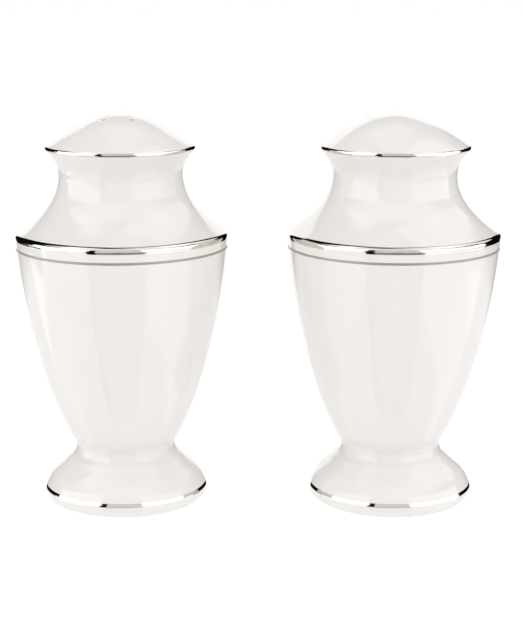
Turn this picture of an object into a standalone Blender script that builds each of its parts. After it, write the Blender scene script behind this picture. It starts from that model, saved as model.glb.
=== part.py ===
"""Salt and pepper shakers: two urn-shaped china shakers with a fired metal band at each edge.

Each shaker is one hollow casting: a domed cap with pour holes, a waisted neck, a tapering
body and a spreading foot. It is filled through a bore in its underside, which a soft stopper
closes. Four metal bands lie flush in the china. Everything is in metres with +Z up, and the
origin is on the table, midway between the two shakers. The salt shaker stands at -X.
"""

from math import cos, pi, radians, sin

import bmesh
import bpy
from mathutils import Matrix, Vector
from mathutils.geometry import intersect_line_line_2d

# Overall sizes
HEIGHT = 0.102
SHOULDER_RADIUS = 0.0277
SPACING = 0.0701  # between the two shakers' axes

# Radii of the outline, from the top down
CAP_RADIUS = 0.0195
NECK_RADIUS = 0.0162
WAIST_RADIUS = 0.0131
FOOT_RADIUS = 0.0215
BASE_RADIUS = 0.0188  # outer edge of the flat ring that stands on the table

# Heights of the outline: the first three run down from the top, the rest up from the table
DOME_HEIGHT = 0.0088  # top of the dome to the middle of the cap's edge
CAP_TO_NECK = 0.0072
NECK_TO_SHOULDER = 0.0154
WAIST_HEIGHT = 0.0148
FOOT_EDGE_HEIGHT = 0.0032  # widest line of the foot

# Soft ring between the waist and the foot, measured from the waist to the ring's lower end
RING_WIDTH = 0.0025
RING_DROP = 0.004
RING_LENGTH = 0.0024  # along the outline

# Turn of the body into the waist
WAIST_EASE = 0.0002
WAIST_TURN = 0.0011

# Radii of the rounded edges
CAP_ROUND = 0.0009
SHOULDER_ROUND = 0.0013
FOOT_ROUND = 0.0016

# Slopes below the horizontal
DOME_SLOPE = radians(36.5)  # where the dome meets the cap's edge
CAP_UNDERCUT = radians(58)
NECK_FLARE = radians(34)
BODY_LEAN = radians(86.4)
WAIST_SLOPE = radians(60)
RING_START_SLOPE = radians(36)
RING_END_SLOPE = radians(51)
FLARE_SLOPE = radians(39)
FOOT_SLOPE = radians(70)

# How far each curve's handles reach, as shares of that curve's own height or width
DOME_REACH = (0.395, 0.7)
UPPER_NECK_REACH = (0.32, 0.5)
LOWER_NECK_REACH = (0.47, 0.33)
BODY_REACH = (0.362, 0.272)
FLARE_REACH = 0.42
RING_REACH = 0.35
TUCK_REACH = 0.55

# Walls, cavity and underside
WALL = 0.0028
FLOOR_HEIGHT = 0.0063  # underside of the floor that holds the stopper
FLOOR_THICKNESS = 0.003
BASE_RING_WIDTH = 0.0024
FILL_RADIUS = 0.008
FIT_GAP = 0.0003  # between pieces that touch

# Metal bands: the height of each one's top edge from the line that it decorates, and its width
BAND_THICKNESS = 0.0003
CAP_BAND = (0.0006, 0.0012)
SHOULDER_BAND = (0.0013, 0.0019)
HAIRLINE_BAND = (-0.0025, 0.0007)
FOOT_BAND = (0.0011, 0.001)

# Pour holes: one in the middle of each dome, and the others evenly round a ring
POUR_RADIUS = 0.0008
POUR_RING_RADIUS = 0.007
SALT_RING_HOLES = 6
PEPPER_RING_HOLES = 2

# Stopper
FLANGE_OVERLAP = 0.0022
FLANGE_THICKNESS = 0.0012
FINGER_GAP = 0.004  # round the flange
STOPPER_REACH = 0.0012  # above the floor
STOPPER_WALL = 0.0022
STOPPER_ROOF = 0.002
RIB_DEPTH = 0.0005
RIB_HEIGHT = 0.0008
GRIP_WIDTH = 0.0018
GRIP_HEIGHT = 0.0021
GRIP_SETBACK = 0.0006
OVERLAP = 0.0005  # of shapes that a union joins

# How finely the curves are drawn
TURN_STEPS = 28
OUTER_DETAIL = 3
CAVITY_DETAIL = 2
HOLE_SIDES = 10
MERGE = 0.00001

# Heights that follow from the sizes above
CAP_LINE = HEIGHT - DOME_HEIGHT
NECK_LINE = CAP_LINE - CAP_TO_NECK
SHOULDER_LINE = NECK_LINE - NECK_TO_SHOULDER
STOPPER_RADIUS = FILL_RADIUS - FIT_GAP
FLANGE_RADIUS = FILL_RADIUS + FLANGE_OVERLAP
FLANGE_TOP = FLOOR_HEIGHT - FIT_GAP
FLANGE_BOTTOM = FLANGE_TOP - FLANGE_THICKNESS


def point(radius, height):
    return Vector((radius, height))


def downhill(slope):
    """The unit step outwards and down at this slope below the horizontal."""
    return point(cos(slope), -sin(slope))


def bezier(start, leave, arrive, end, steps):
    points = []
    for i in range(steps + 1):
        t = i / steps
        s = 1 - t
        points.append(s**3 * start + 3 * s * s * t * leave + 3 * s * t * t * arrive + t**3 * end)
    return points


def arc(centre, radius, start, end, steps):
    turns = [start + (end - start) * i / steps for i in range(steps + 1)]
    return [centre + radius * point(cos(turn), sin(turn)) for turn in turns]


def joined(*paths):
    """The paths as one, each shared end kept once."""
    points = []
    for path in paths:
        for p in path:
            if not points or (p - points[-1]).length > MERGE:
                points.append(p)
    return points


def inward(path, distance):
    """The path moved square to itself, into the china, on an outline that runs downwards."""
    moved = []
    for i, p in enumerate(path):
        before = (p - path[max(i - 1, 0)]).normalized()
        after = (path[min(i + 1, len(path) - 1)] - p).normalized()
        along = (before + after).normalized()
        stretch = max(along.dot(before), along.dot(after))
        moved.append(p + distance / stretch * point(along.y, -along.x))
    return moved


def between(path, top, bottom):
    """The stretch of a downward path between two heights, with its ends exactly on them."""
    stretch = []
    for a, b in zip(path, path[1:]):
        for height in (top, bottom):
            if a.y > height > b.y:
                stretch.append(a.lerp(b, (a.y - height) / (a.y - b.y)))
        if top > b.y > bottom:
            stretch.append(b)
    return sorted(stretch, key=lambda p: -p.y)


def cut_at_crossing(first, second):
    """The first path as far as the second one, then the rest of the second."""
    for i in range(len(first) - 1):
        for j in range(len(second) - 1):
            crossing = intersect_line_line_2d(first[i], first[i + 1], second[j], second[j + 1])
            if crossing:
                return first[: i + 1] + [crossing] + second[j + 1 :]
    return joined(first, second)


def upper_runs(detail):
    """The outer side's dome, cap edge, neck, shoulder edge and body, each a path that runs down."""
    cap_centre = point(CAP_RADIUS - CAP_ROUND, CAP_LINE)
    cap_edge = arc(cap_centre, CAP_ROUND, pi / 2 - DOME_SLOPE, CAP_UNDERCUT - pi / 2, 3)
    top = point(0, HEIGHT)
    crown = top + point(DOME_REACH[0] * CAP_RADIUS, 0)
    brow = cap_edge[0] - DOME_REACH[1] * DOME_HEIGHT * downhill(DOME_SLOPE)
    dome = bezier(top, crown, brow, cap_edge[0], 2 * detail)

    shoulder_centre = point(SHOULDER_RADIUS - SHOULDER_ROUND, SHOULDER_LINE)
    shoulder = arc(shoulder_centre, SHOULDER_ROUND, pi / 2 - NECK_FLARE, BODY_LEAN - pi / 2, 3)
    waist_of_neck = point(NECK_RADIUS, NECK_LINE)
    under_cap = cap_edge[-1] + UPPER_NECK_REACH[0] * CAP_TO_NECK * downhill(pi - CAP_UNDERCUT)
    rise = point(0, UPPER_NECK_REACH[1] * CAP_TO_NECK)
    drop = point(0, LOWER_NECK_REACH[0] * NECK_TO_SHOULDER)
    flare = shoulder[0] - LOWER_NECK_REACH[1] * NECK_TO_SHOULDER * downhill(NECK_FLARE)
    upper_neck = bezier(cap_edge[-1], under_cap, waist_of_neck + rise, waist_of_neck, detail + 1)
    lower_neck = bezier(waist_of_neck, waist_of_neck - drop, flare, shoulder[0], 2 * detail)

    waist_top = point(WAIST_RADIUS + WAIST_EASE, WAIST_HEIGHT + WAIST_TURN)
    body_height = shoulder[-1].y - waist_top.y
    start = BODY_REACH[0] * body_height * downhill(pi - BODY_LEAN)
    finish = BODY_REACH[1] * body_height * downhill(pi - WAIST_SLOPE)
    body = bezier(shoulder[-1], shoulder[-1] + start, waist_top - finish, waist_top, 3 * detail)
    return dome, cap_edge, joined(upper_neck, lower_neck), shoulder, body


def foot(waist_top):
    """The outer side from the bottom of the body to the table."""
    waist = point(WAIST_RADIUS, WAIST_HEIGHT)
    turn = point(0, WAIST_TURN)
    ring_end = waist + point(RING_WIDTH, -RING_DROP)
    ring_start = ring_end - RING_LENGTH * downhill((RING_START_SLOPE + RING_END_SLOPE) / 2)
    pinch = bezier(waist_top, waist + turn / 2, waist - turn, ring_start, 3)
    ring_reach = RING_REACH * RING_LENGTH
    onto_ring = ring_start + ring_reach * downhill(RING_START_SLOPE)
    off_ring = ring_end - ring_reach * downhill(RING_END_SLOPE)
    ring = bezier(ring_start, onto_ring, off_ring, ring_end, 2)

    edge_centre = point(FOOT_RADIUS - FOOT_ROUND, FOOT_EDGE_HEIGHT)
    edge = arc(edge_centre, FOOT_ROUND, pi / 2 - FOOT_SLOPE, 0, 3)
    reach = FLARE_REACH * (edge[0] - ring_end).length
    flare_start = ring_end + reach * downhill(FLARE_SLOPE)
    flare = bezier(ring_end, flare_start, edge[0] - reach * downhill(FOOT_SLOPE), edge[0], 3)
    base = point(BASE_RADIUS, 0)
    tuck = edge[-1] - point(0, TUCK_REACH * FOOT_EDGE_HEIGHT)
    spread = base + point(TUCK_REACH * (FOOT_RADIUS - BASE_RADIUS), 0)
    return joined(pinch, ring, flare, edge, bezier(edge[-1], tuck, spread, base, 3))


def outer_side():
    dome, cap_edge, neck, shoulder, body = upper_runs(OUTER_DETAIL)
    return joined(dome, cap_edge, neck, shoulder, body, foot(body[-1]))


def cavity():
    """The hollow's wall from the floor up to the axis under the dome."""
    dome, _, neck, _, body = upper_runs(CAVITY_DETAIL)
    roof = inward(dome, WALL)
    roof[0] = point(0, HEIGHT - WALL)
    walls = cut_at_crossing(roof, cut_at_crossing(inward(neck, WALL), inward(body, WALL)))
    floor_edge = point(WAIST_RADIUS - WALL, FLOOR_HEIGHT + FLOOR_THICKNESS)
    return [floor_edge] + walls[::-1]


def underside():
    """From the flat ring on the table, up the recess, across the floor and through the fill bore."""
    return [
        point(BASE_RADIUS - BASE_RING_WIDTH, 0),
        point(FLANGE_RADIUS + FINGER_GAP, FLOOR_HEIGHT),
        point(FILL_RADIUS, FLOOR_HEIGHT),
        point(FILL_RADIUS, FLOOR_HEIGHT + FLOOR_THICKNESS),
    ]


def bands():
    """Each band's name with the heights of its top and bottom edges."""
    spans = (
        ("cap_band", CAP_LINE, CAP_BAND),
        ("shoulder_band", SHOULDER_LINE, SHOULDER_BAND),
        ("hairline_band", SHOULDER_LINE, HAIRLINE_BAND),
        ("foot_band", FOOT_EDGE_HEIGHT, FOOT_BAND),
    )
    return [(name, line + rise, line + rise - width) for name, line, (rise, width) in spans]


def china_profile():
    """The whole section of the china, with a shallow seat for each band."""
    side = outer_side()
    for _, top, bottom in bands():
        seat = between(side, top + FIT_GAP, bottom - FIT_GAP)
        above = [p for p in side if p.y > seat[0].y]
        below = [p for p in side if p.y < seat[-1].y]
        side = above + [seat[0]] + inward(seat, BAND_THICKNESS + FIT_GAP) + [seat[-1]] + below
    return side + underside() + cavity()


def band_profile(top, bottom):
    outside = between(outer_side(), top, bottom)
    return outside + inward(outside, BAND_THICKNESS)[::-1]


def stopper_profile():
    """Flange, ribbed skirt and the hollow for the grip bar, from the top down and back inside."""
    top = FLOOR_HEIGHT + FLOOR_THICKNESS + STOPPER_REACH
    skirt = STOPPER_RADIUS - RIB_DEPTH
    upper_rib = FLOOR_HEIGHT + FLOOR_THICKNESS - RIB_DEPTH
    lower_rib = FLANGE_TOP + RIB_HEIGHT + RIB_DEPTH
    hollow = STOPPER_RADIUS - STOPPER_WALL
    return [
        point(0, top),
        point(skirt - RIB_DEPTH, top),
        point(skirt, top - RIB_DEPTH),
        point(skirt, upper_rib),
        point(STOPPER_RADIUS, upper_rib - RIB_HEIGHT / 2),
        point(skirt, upper_rib - RIB_HEIGHT),
        point(skirt, lower_rib),
        point(STOPPER_RADIUS, lower_rib - RIB_HEIGHT / 2),
        point(skirt, lower_rib - RIB_HEIGHT),
        point(skirt, FLANGE_TOP),
        point(FLANGE_RADIUS - RIB_DEPTH, FLANGE_TOP),
        point(FLANGE_RADIUS, FLANGE_TOP - RIB_DEPTH),
        point(FLANGE_RADIUS, FLANGE_BOTTOM),
        point(hollow, FLANGE_BOTTOM),
        point(hollow, top - STOPPER_ROOF),
        point(0, top - STOPPER_ROOF),
    ]


def material(name, colour, roughness, metallic):
    made = bpy.data.materials.new(name)
    made.use_nodes = True
    shader = made.node_tree.nodes["Principled BSDF"]
    shader.inputs["Base Color"].default_value = (*colour, 1)
    shader.inputs["Roughness"].default_value = roughness
    shader.inputs["Metallic"].default_value = metallic
    return made


def place(name, mesh, collection, parent):
    made = bpy.data.objects.new(name, mesh)
    made.parent = parent
    collection.objects.link(made)
    return made


def turned(name, profile, closed, finish, collection, parent):
    """A piece turned from its section about its own Z axis."""
    ends = list(range(len(profile)))
    edges = list(zip(ends, ends[1:] + ends[:1] if closed else ends[1:]))
    mesh = bpy.data.meshes.new(name)
    mesh.from_pydata([(p.x, 0, p.y) for p in profile], edges, [])
    mesh.materials.append(finish)
    made = place(name, mesh, collection, parent)
    screw = made.modifiers.new("Turn", "SCREW")
    screw.steps = TURN_STEPS
    screw.render_steps = TURN_STEPS
    screw.use_smooth_shade = True
    screw.use_merge_vertices = True
    screw.merge_threshold = MERGE
    return made


def cutter(name, bm, collection, parent):
    mesh = bpy.data.meshes.new(name)
    bm.to_mesh(mesh)
    bm.free()
    made = place(name, mesh, collection, parent)
    made.hide_render = True
    made.display_type = "WIRE"
    return made


def combine(piece, operation, other):
    change = piece.modifiers.new(other.name, "BOOLEAN")
    change.operation = operation
    change.object = other


def pour_holes(name, ring_holes, collection, parent):
    """Cylinders square to the dome: one on its axis, and the others round the ring from +X."""
    dome = upper_runs(OUTER_DETAIL)[0]
    a, b = next((a, b) for a, b in zip(dome, dome[1:]) if b.x >= POUR_RING_RADIUS)
    height = a.lerp(b, (POUR_RING_RADIUS - a.x) / (b.x - a.x)).y
    aim = Matrix.Rotation(abs((b - a).angle_signed(point(1, 0))), 4, "Y")
    on_ring = Matrix.Translation((POUR_RING_RADIUS, 0, height)) @ aim
    spins = [Matrix.Rotation(2 * pi * i / ring_holes, 4, "Z") for i in range(ring_holes)]
    bm = bmesh.new()
    for spot in [Matrix.Translation((0, 0, HEIGHT))] + [spin @ on_ring for spin in spins]:
        bmesh.ops.create_cone(
            bm,
            cap_ends=True,
            segments=HOLE_SIDES,
            radius1=POUR_RADIUS,
            radius2=POUR_RADIUS,
            depth=3 * WALL,
            matrix=spot,
        )
    return cutter(name, bm, collection, parent)


def grip_bar(name, collection, parent):
    """The bar across the stopper's hollow that a fingernail pulls on."""
    length = 2 * (STOPPER_RADIUS - STOPPER_WALL + OVERLAP)
    middle = FLANGE_BOTTOM + GRIP_SETBACK + GRIP_HEIGHT / 2
    bm = bmesh.new()
    size = Matrix.Diagonal((length, GRIP_WIDTH, GRIP_HEIGHT, 1))
    bmesh.ops.create_cube(bm, size=1, matrix=Matrix.Translation((0, 0, middle)) @ size)
    return cutter(name, bm, collection, parent)


def shaker(name, x, ring_holes, finishes, parts, cutters):
    china, metal, soft = finishes
    axis = bpy.data.objects.new(f"{name}_shaker", None)
    axis.location.x = x
    parts.objects.link(axis)

    body = turned(f"{name}_body", china_profile(), False, china, parts, axis)
    combine(body, "DIFFERENCE", pour_holes(f"{name}_pour_holes", ring_holes, cutters, axis))
    for band, top, bottom in bands():
        turned(f"{name}_{band}", band_profile(top, bottom), True, metal, parts, axis)

    stopper = turned(f"{name}_stopper", stopper_profile(), False, soft, parts, axis)
    combine(stopper, "UNION", grip_bar(f"{name}_grip_bar", cutters, axis))


def clear_scene():
    for old in list(bpy.data.objects):
        bpy.data.objects.remove(old, do_unlink=True)


def main():
    clear_scene()
    parts = bpy.data.collections.new("salt_and_pepper_shakers")
    cutters = bpy.data.collections.new("cutters")
    for collection in (parts, cutters):
        bpy.context.scene.collection.children.link(collection)
    finishes = (
        material("glazed_china", (0.855, 0.831, 0.807), 0.12, 0),
        material("fired_platinum", (0.75, 0.73, 0.7), 0.08, 1),
        material("soft_stopper", (0.78, 0.77, 0.74), 0.5, 0),
    )
    shaker("salt", -SPACING / 2, SALT_RING_HOLES, finishes, parts, cutters)
    shaker("pepper", SPACING / 2, PEPPER_RING_HOLES, finishes, parts, cutters)


if __name__ == "__main__":
    main()
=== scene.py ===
"""Salt and pepper shakers: glazed china, fired platinum lines, soft stoppers and a small studio.

Run in Blender, it loads the shakers' frame, makes every visible piece round it and sets the
camera and the light. Everything is in metres with +Z up. Once registered, the panel in the 3D
view's sidebar makes each group of pieces again with other sizes and colours.
"""

from collections import namedtuple
from math import cos, pi, radians, sin, tan

import bpy
from bpy.props import FloatProperty, FloatVectorProperty, IntProperty, PointerProperty
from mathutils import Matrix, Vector
from mathutils.geometry import intersect_line_line_2d


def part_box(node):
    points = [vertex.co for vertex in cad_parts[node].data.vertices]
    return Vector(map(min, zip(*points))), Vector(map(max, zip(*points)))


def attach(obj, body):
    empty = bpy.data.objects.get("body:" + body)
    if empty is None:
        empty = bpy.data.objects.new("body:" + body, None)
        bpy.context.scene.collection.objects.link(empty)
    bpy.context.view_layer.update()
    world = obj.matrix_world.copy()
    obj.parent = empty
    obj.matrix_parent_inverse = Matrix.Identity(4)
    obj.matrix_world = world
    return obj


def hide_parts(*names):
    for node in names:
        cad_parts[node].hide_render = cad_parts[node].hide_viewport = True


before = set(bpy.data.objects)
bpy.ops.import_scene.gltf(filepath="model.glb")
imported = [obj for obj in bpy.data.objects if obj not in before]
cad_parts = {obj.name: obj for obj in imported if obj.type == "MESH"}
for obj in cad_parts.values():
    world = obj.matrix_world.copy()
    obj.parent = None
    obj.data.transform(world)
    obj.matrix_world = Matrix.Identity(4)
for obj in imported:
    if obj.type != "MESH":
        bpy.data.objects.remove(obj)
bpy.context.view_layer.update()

bl_info = {
    "name": "Salt and pepper shakers",
    "version": (1, 0, 0),
    "blender": (4, 5, 0),
    "location": "View3D > Sidebar > Shakers",
    "description": "Makes two china shakers, their platinum lines, stoppers and a studio",
    "category": "Object",
}

NAMES = ("salt", "pepper")
BODY_LOW, BODY_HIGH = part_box("salt_body")

# Heights of the outline: the first three run down from the top, the rest up from the table
DOME_HEIGHT = 0.0088
CAP_TO_NECK = 0.0072
NECK_TO_SHOULDER = 0.0154
WAIST_HEIGHT = 0.0148
FOOT_EDGE_HEIGHT = 0.0032

# Soft ring between the waist and the foot
RING_WIDTH = 0.0025
RING_DROP = 0.004
RING_LENGTH = 0.0024

# Turn of the body into the waist
WAIST_EASE = 0.0002
WAIST_TURN = 0.0011

# Radii of the rounded edges
CAP_ROUND = 0.0009
SHOULDER_ROUND = 0.0013
FOOT_ROUND = 0.0016

# Slopes below the horizontal
DOME_SLOPE = radians(36.5)
CAP_UNDERCUT = radians(58)
NECK_FLARE = radians(34)
BODY_LEAN = radians(86.4)
WAIST_SLOPE = radians(60)
RING_START_SLOPE = radians(36)
RING_END_SLOPE = radians(51)
FLARE_SLOPE = radians(39)
FOOT_SLOPE = radians(70)

# How far each curve's handles reach, as shares of that curve's own height or width
DOME_REACH = (0.395, 0.7)
UPPER_NECK_REACH = (0.32, 0.5)
LOWER_NECK_REACH = (0.47, 0.33)
BODY_REACH = (0.362, 0.272)
FLARE_REACH = 0.42
RING_REACH = 0.35
TUCK_REACH = 0.55

# Underside, floor and the edges that only the fine china has
BASE_RADIUS = 0.0188
BASE_RING_WIDTH = 0.0024
BASE_RING_ROUND = 0.0007
FLOOR_HEIGHT = 0.0063
FLOOR_THICKNESS = 0.003
RECESS_ROUND = 0.0022
BORE_ROUND = 0.0006
FINGER_GAP = 0.004

# Stopper
FIT_GAP = 0.0003
FLANGE_OVERLAP = 0.0022
FLANGE_THICKNESS = 0.0012
STOPPER_REACH = 0.0012
STOPPER_WALL = 0.0022
STOPPER_ROOF = 0.002
RIB_DEPTH = 0.0005
RIB_HEIGHT = 0.0008
GRIP_WIDTH = 0.0018
GRIP_HEIGHT = 0.0021
GRIP_SETBACK = 0.0006
SOFT_EDGE = 0.0004

# Platinum lines: the height of each one's top edge from the edge that it decorates, and its width
Line = namedtuple("Line", "piece node rise width")
CAP_LINES = (Line("cap_line", "cap_band", 0.0006, 0.0012),)
SHOULDER_LINES = (
    Line("shoulder_line", "shoulder_band", 0.0013, 0.0019),
    Line("hairline", "hairline_band", -0.0025, 0.0007),
)
FOOT_LINES = (Line("foot_line", "foot_band", 0.0011, 0.001),)

LIP_STOP = radians(80)  # how far a pour hole's lip turns over
EDGE_POWER = 10  # how squarely a line's edges drop to the glaze
WANDER_TURNS = 1.6  # radius of the circle that reads the wander's noise
SEED_STEP = 7.3  # from the noise of a line's top edge to that of its bottom edge

# How finely the curves are drawn
FINE = 11
FINE_ARC = 12
FINE_CAVITY = 6
FILLET_STEPS = 6
CUTTER_TURNS = 40
WELD = 0.000002
FULL_TURN = 2 * pi

# Glaze: noise in turns per metre, heights and depths in metres, and shares of each in the tone
DRIFT_SCALE = 45
RIPPLE_SCALE = 120
CLOUD_SCALE = 260
PEEL_SCALE = 900
DRY_EDGE_SCALE = 700
BARE_GRAIN_SCALE = 9000
# Darker glaze in bands under the cap's edge and round the waist: thick glaze lies there, and the darker
# colour also paints the shade that falls in these recesses
POOL_AND_SHADE_BELOW_CAP = 0.003
POOL_AND_SHADE_SPREAD = 0.004
DRY_EDGE = (0.00015, 0.0004)
DRY_EDGE_SWAY = 0.0004
BARE_GRAIN_DEPTH = 0.000012
PEEL_SHARE = 0.05
# The share of the darker band, partly pooled glaze and partly painted shade, in the glaze's tone
POOL_AND_SHADE_TONE = 0.45
DRIFT_TONE = 0.7
CLOUD_TONE = 0.25
GLAZE_TONE = 0.3
CLOUD_ROUGHNESS = 0.03
DRY_ROUGHNESS = 0.5

# Platinum, in the same way. The strokes of the brush run round the shaker.
STROKES_ROUND = 60
STROKES_DOWN = 5000
FILM_SCALE = 150
SPECK_SCALE = 2600
BUCKLE_SCALE = 300
STROKE_DEPTH = 0.0000006
BUCKLE_DEPTH = 0.000004
SPECK_SWAY = 0.25
THIN_EDGE = (0.92, 1.1)
FILM_TONE = 1.2
STROKE_TONE = 0.8
METAL_TONE = 0.5
RUBBED_SHADE = 0.9
THIN_SHADE = 0.35
THIN_METAL_LOSS = 0.3
RUBBED_FILM = (0.45, 0.8)
FILM_ROUGHNESS = 0.06
STROKE_ROUGHNESS = 0.03
THIN_ROUGHNESS = 0.15

# Rubber, in the same way
RUBBER_CLOUD_SCALE = 320
RUBBER_GRAIN_SCALE = 7000
HANDLED_HEIGHT = 0.0016
RUBBER_CLOUD_TONE = 0.9
HANDLED_TONE = 0.25
RUBBER_TONE = 0.35
RUBBER_ROUGHNESS = 0.46
RUBBER_CLOUD_ROUGHNESS = 0.15
HANDLED_SHINE = 0.06
RUBBER_GRAIN_DEPTH = 0.000006
RUBBER_CLOUD_DEPTH = 0.00001

# Studio
FLOOR_ROUGHNESS = 0.6
FLECK_SCALE = 400
FLECK_ROUGHNESS = 0.1
NEAREST_VIEW = 0.01


def unit(slope):
    """The unit step outwards and down at this slope below the horizontal."""
    return Vector((cos(slope), -sin(slope)))


def bezier(start, leave, arrive, end, steps):
    points = []
    for i in range(steps + 1):
        t = i / steps
        s = 1 - t
        points.append(s**3 * start + 3 * s * s * t * leave + 3 * s * t * t * arrive + t**3 * end)
    return points


def arc(centre, radius, start, end, steps):
    turns = [start + (end - start) * i / steps for i in range(steps + 1)]
    return [centre + radius * Vector((cos(turn), sin(turn))) for turn in turns]


def joined(*paths):
    """The paths as one, each shared end kept once."""
    points = []
    for path in paths:
        for p in path:
            if not points or (p - points[-1]).length > WELD:
                points.append(p)
    return points


def filleted(corners):
    """A path through (radius, height, rounding) corners, each rounded with an arc of its own."""
    spots = [Vector(corner[:2]) for corner in corners]
    points = []
    for i, (spot, corner) in enumerate(zip(spots, corners)):
        rounding = corner[2]
        if not rounding:
            points.append(spot)
            continue
        back = (spots[i - 1] - spot).normalized()
        on = (spots[i + 1] - spot).normalized()
        half = back.angle(on) / 2
        centre = spot + rounding / sin(half) * (back + on).normalized()
        start = (spot + rounding / tan(half) * back - centre).normalized()
        end = (spot + rounding / tan(half) * on - centre).normalized()
        for step in range(FILLET_STEPS + 1):
            points.append(centre + rounding * start.slerp(end, step / FILLET_STEPS))
    return points


def inward(path, distance):
    """The path moved square to itself, into the china, on an outline that runs downwards."""
    moved = []
    for i, p in enumerate(path):
        before = (p - path[max(i - 1, 0)]).normalized()
        after = (path[min(i + 1, len(path) - 1)] - p).normalized()
        along = (before + after).normalized()
        stretch = max(along.dot(before), along.dot(after))
        moved.append(p + distance / stretch * Vector((along.y, -along.x)))
    return moved


def cut_at_crossing(first, second):
    """The first path as far as the second one, then the rest of the second."""
    for i in range(len(first) - 1):
        for j in range(len(second) - 1):
            crossing = intersect_line_line_2d(first[i], first[i + 1], second[j], second[j + 1])
            if crossing:
                return first[: i + 1] + [crossing] + second[j + 1 :]
    return joined(first, second)


def edge_heights(shape):
    """Heights of the cap's edge, the neck and the shoulder's edge."""
    cap = shape.height - DOME_HEIGHT
    neck = cap - CAP_TO_NECK
    return cap, neck, neck - NECK_TO_SHOULDER


def upper_runs(shape, detail):
    """The outer side's dome, cap edge, neck, shoulder edge and body, each a path that runs down."""
    cap_height, neck_height, shoulder_height = edge_heights(shape)
    cap_centre = Vector((shape.cap_radius - CAP_ROUND, cap_height))
    cap_edge = arc(cap_centre, CAP_ROUND, pi / 2 - DOME_SLOPE, CAP_UNDERCUT - pi / 2, FINE_ARC)
    top = Vector((0, shape.height))
    crown = top + Vector((DOME_REACH[0] * shape.cap_radius, 0))
    brow = cap_edge[0] - DOME_REACH[1] * DOME_HEIGHT * unit(DOME_SLOPE)
    dome = bezier(top, crown, brow, cap_edge[0], 2 * detail)

    shoulder_centre = Vector((shape.shoulder_radius - SHOULDER_ROUND, shoulder_height))
    turn_start = pi / 2 - NECK_FLARE
    shoulder = arc(shoulder_centre, SHOULDER_ROUND, turn_start, BODY_LEAN - pi / 2, FINE_ARC)
    neck = Vector((shape.neck_radius, neck_height))
    under_cap = cap_edge[-1] + UPPER_NECK_REACH[0] * CAP_TO_NECK * unit(pi - CAP_UNDERCUT)
    rise = Vector((0, UPPER_NECK_REACH[1] * CAP_TO_NECK))
    drop = Vector((0, LOWER_NECK_REACH[0] * NECK_TO_SHOULDER))
    flare = shoulder[0] - LOWER_NECK_REACH[1] * NECK_TO_SHOULDER * unit(NECK_FLARE)
    upper_neck = bezier(cap_edge[-1], under_cap, neck + rise, neck, detail)
    lower_neck = bezier(neck, neck - drop, flare, shoulder[0], 2 * detail)

    waist_top = Vector((shape.waist_radius + WAIST_EASE, WAIST_HEIGHT + WAIST_TURN))
    body_height = shoulder[-1].y - waist_top.y
    start = BODY_REACH[0] * body_height * unit(pi - BODY_LEAN)
    finish = BODY_REACH[1] * body_height * unit(pi - WAIST_SLOPE)
    body = bezier(shoulder[-1], shoulder[-1] + start, waist_top - finish, waist_top, 5 * detail)
    return dome, cap_edge, joined(upper_neck, lower_neck), shoulder, body


def foot(shape, waist_top):
    """The outer side from the bottom of the body to the table."""
    waist = Vector((shape.waist_radius, WAIST_HEIGHT))
    turn = Vector((0, WAIST_TURN))
    ring_end = waist + Vector((RING_WIDTH, -RING_DROP))
    ring_start = ring_end - RING_LENGTH * unit((RING_START_SLOPE + RING_END_SLOPE) / 2)
    pinch = bezier(waist_top, waist + turn / 2, waist - turn, ring_start, FINE)
    ring_reach = RING_REACH * RING_LENGTH
    onto_ring = ring_start + ring_reach * unit(RING_START_SLOPE)
    off_ring = ring_end - ring_reach * unit(RING_END_SLOPE)
    ring = bezier(ring_start, onto_ring, off_ring, ring_end, FINE)

    edge_centre = Vector((shape.foot_radius - FOOT_ROUND, FOOT_EDGE_HEIGHT))
    edge = arc(edge_centre, FOOT_ROUND, pi / 2 - FOOT_SLOPE, 0, FINE_ARC)
    reach = FLARE_REACH * (edge[0] - ring_end).length
    flare_start = ring_end + reach * unit(FLARE_SLOPE)
    flare = bezier(ring_end, flare_start, edge[0] - reach * unit(FOOT_SLOPE), edge[0], FINE)
    base = Vector((BASE_RADIUS, 0))
    tuck = edge[-1] - Vector((0, TUCK_REACH * FOOT_EDGE_HEIGHT))
    spread = base + Vector((TUCK_REACH * (shape.foot_radius - BASE_RADIUS), 0))
    return joined(pinch, ring, flare, edge, bezier(edge[-1], tuck, spread, base, FINE))


def outer_side(shape):
    dome, cap_edge, neck, shoulder, body = upper_runs(shape, FINE)
    return joined(dome, cap_edge, neck, shoulder, body, foot(shape, body[-1]))


def underside(shape):
    """From the flat ring on the table, up the recess, across the floor and through the bore."""
    ring_inside = BASE_RADIUS - BASE_RING_WIDTH
    recess_top = shape.fill_radius + FLANGE_OVERLAP + FINGER_GAP
    floor_top = FLOOR_HEIGHT + FLOOR_THICKNESS
    return filleted(
        [
            (BASE_RADIUS, 0, 0),
            (ring_inside, 0, BASE_RING_ROUND),
            (recess_top, FLOOR_HEIGHT, RECESS_ROUND),
            (shape.fill_radius, FLOOR_HEIGHT, BORE_ROUND),
            (shape.fill_radius, floor_top, BORE_ROUND),
            (shape.waist_radius - shape.wall, floor_top, 0),
        ]
    )


def cavity(shape):
    """The hollow's wall from the floor up to the axis under the dome."""
    dome, _, neck, _, body = upper_runs(shape, FINE_CAVITY)
    roof = inward(dome, shape.wall)
    roof[0] = Vector((0, shape.height - shape.wall))
    walls = cut_at_crossing(inward(neck, shape.wall), inward(body, shape.wall))
    return cut_at_crossing(roof, walls)[::-1]


def china_section(shape):
    return joined(outer_side(shape), underside(shape), cavity(shape))


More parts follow.
